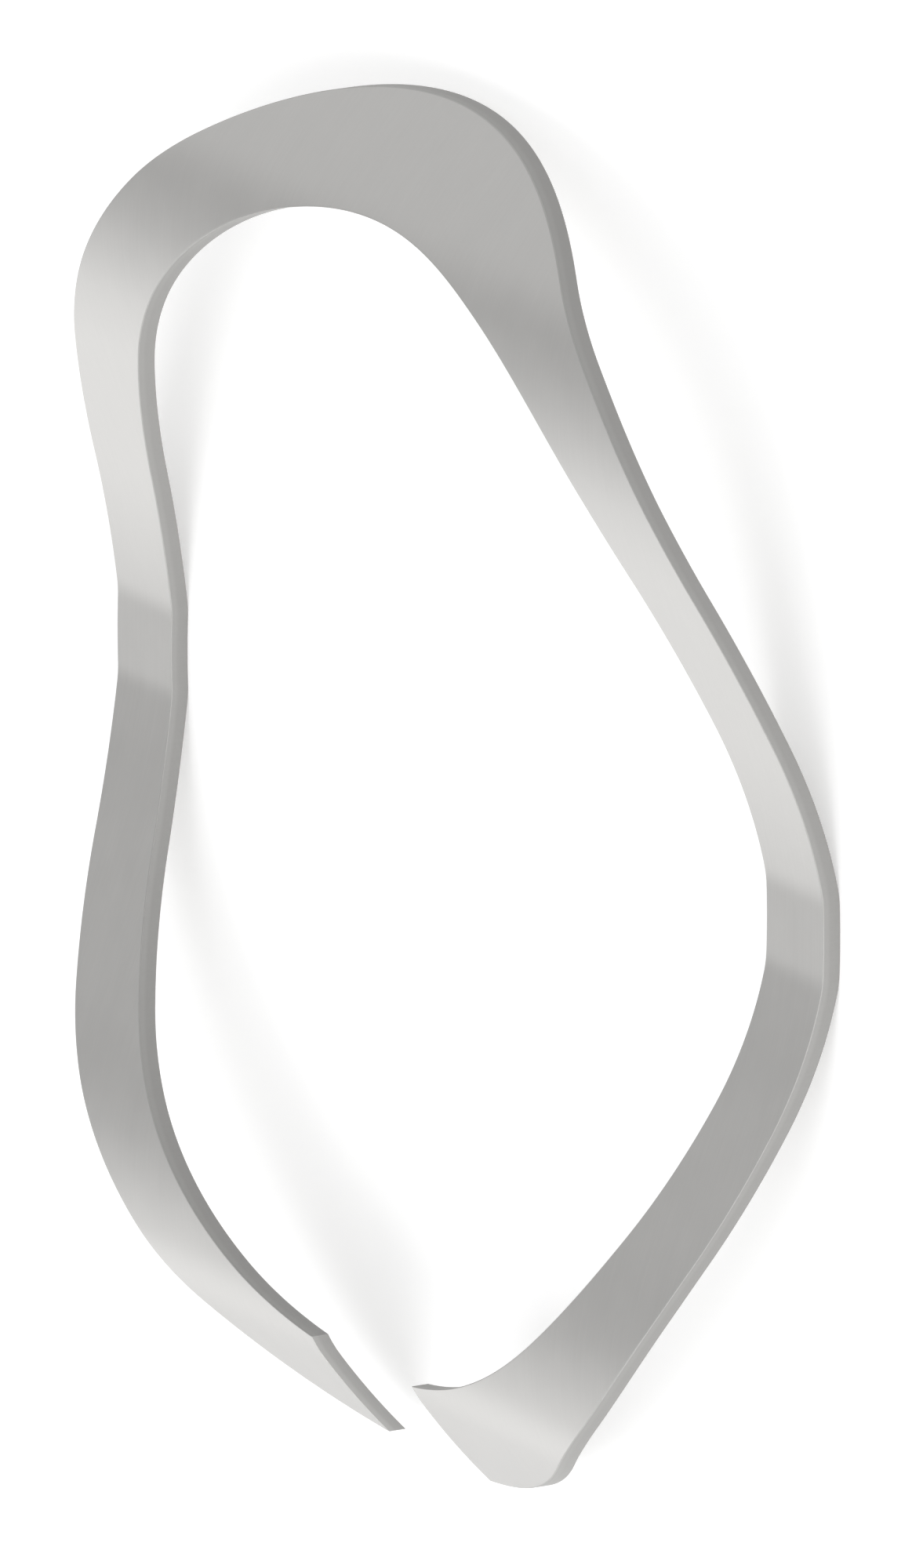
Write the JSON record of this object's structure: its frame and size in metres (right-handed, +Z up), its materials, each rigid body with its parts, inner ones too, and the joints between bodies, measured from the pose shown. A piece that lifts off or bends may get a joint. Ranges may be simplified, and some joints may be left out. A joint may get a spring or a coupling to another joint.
{
  "type": "waved snap ring",
  "caption": "Open waved snap ring of flat spring-steel strip that springs into a groove and takes up end play.",
  "frame": {"origin": "on the ring's axis, in the plane under the two lower crest lands, which is the surface it lies on", "axes": "+Z up the ring's axis, +X away from the gap, +Y across the wave"},
  "size_m": [0.0299, 0.03, 0.0032],
  "materials": {
    "spring_steel": "satin"
  },
  "bodies": {
    "root": {"snap_ring": "spring_steel"}
  },
  "joints": []
}
